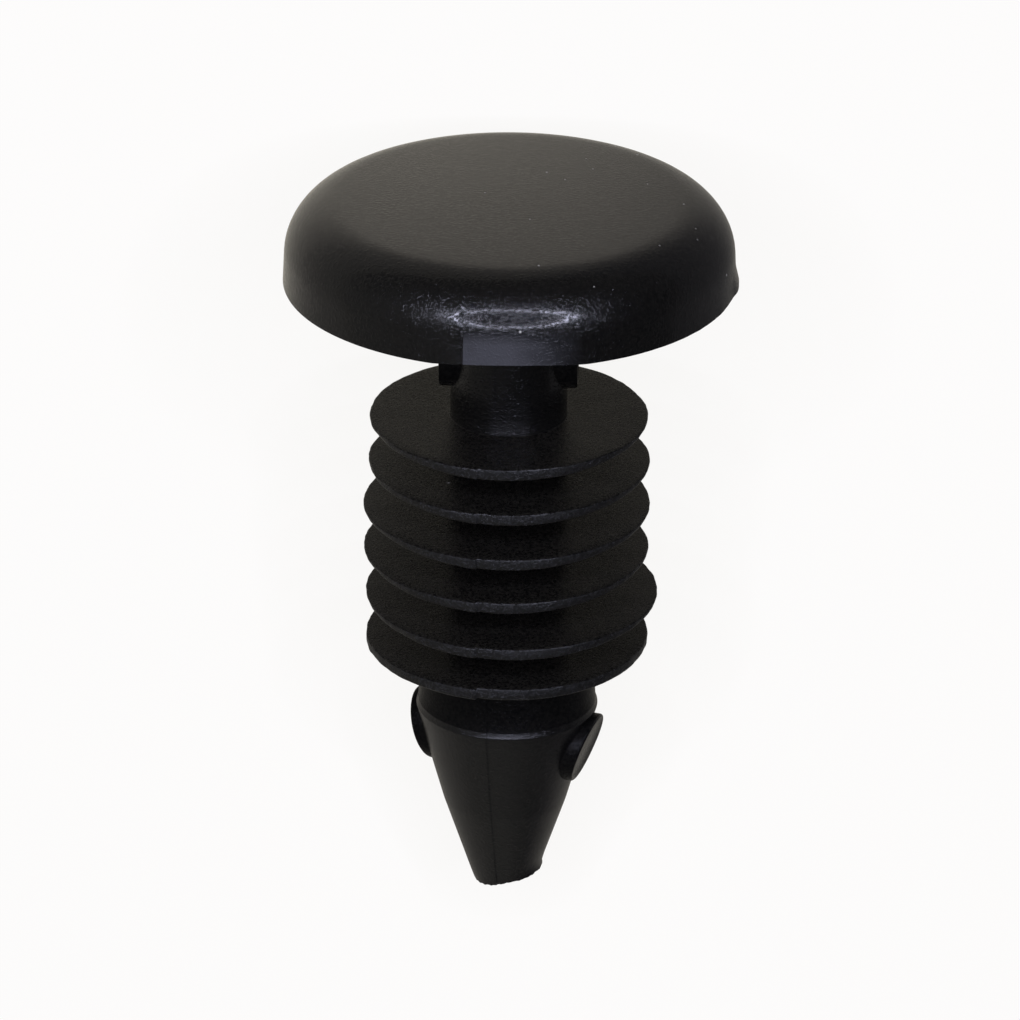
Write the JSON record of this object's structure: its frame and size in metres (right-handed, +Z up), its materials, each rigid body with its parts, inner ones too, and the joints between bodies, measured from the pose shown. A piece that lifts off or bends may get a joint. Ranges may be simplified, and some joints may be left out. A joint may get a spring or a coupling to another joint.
{
  "type": "weatherstrip retainer",
  "caption": "Push-in retainer in black nylon with a broad low head, a plain neck, thin round fins and a blunt bullet point, lying on its side.",
  "frame": {"origin": "centre of the underside of the head, on the axis of the stem", "axes": "the retainer lies on its side: +Y points along the floor towards the head, its own axis rises 12.0 degrees towards the head, and +Z is up"},
  "size_m": [0.0126, 0.0219, 0.0126],
  "materials": {
    "nylon": "moulded black nylon, satin"
  },
  "bodies": {
    "root": {"retainer": "nylon"}
  },
  "joints": []
}
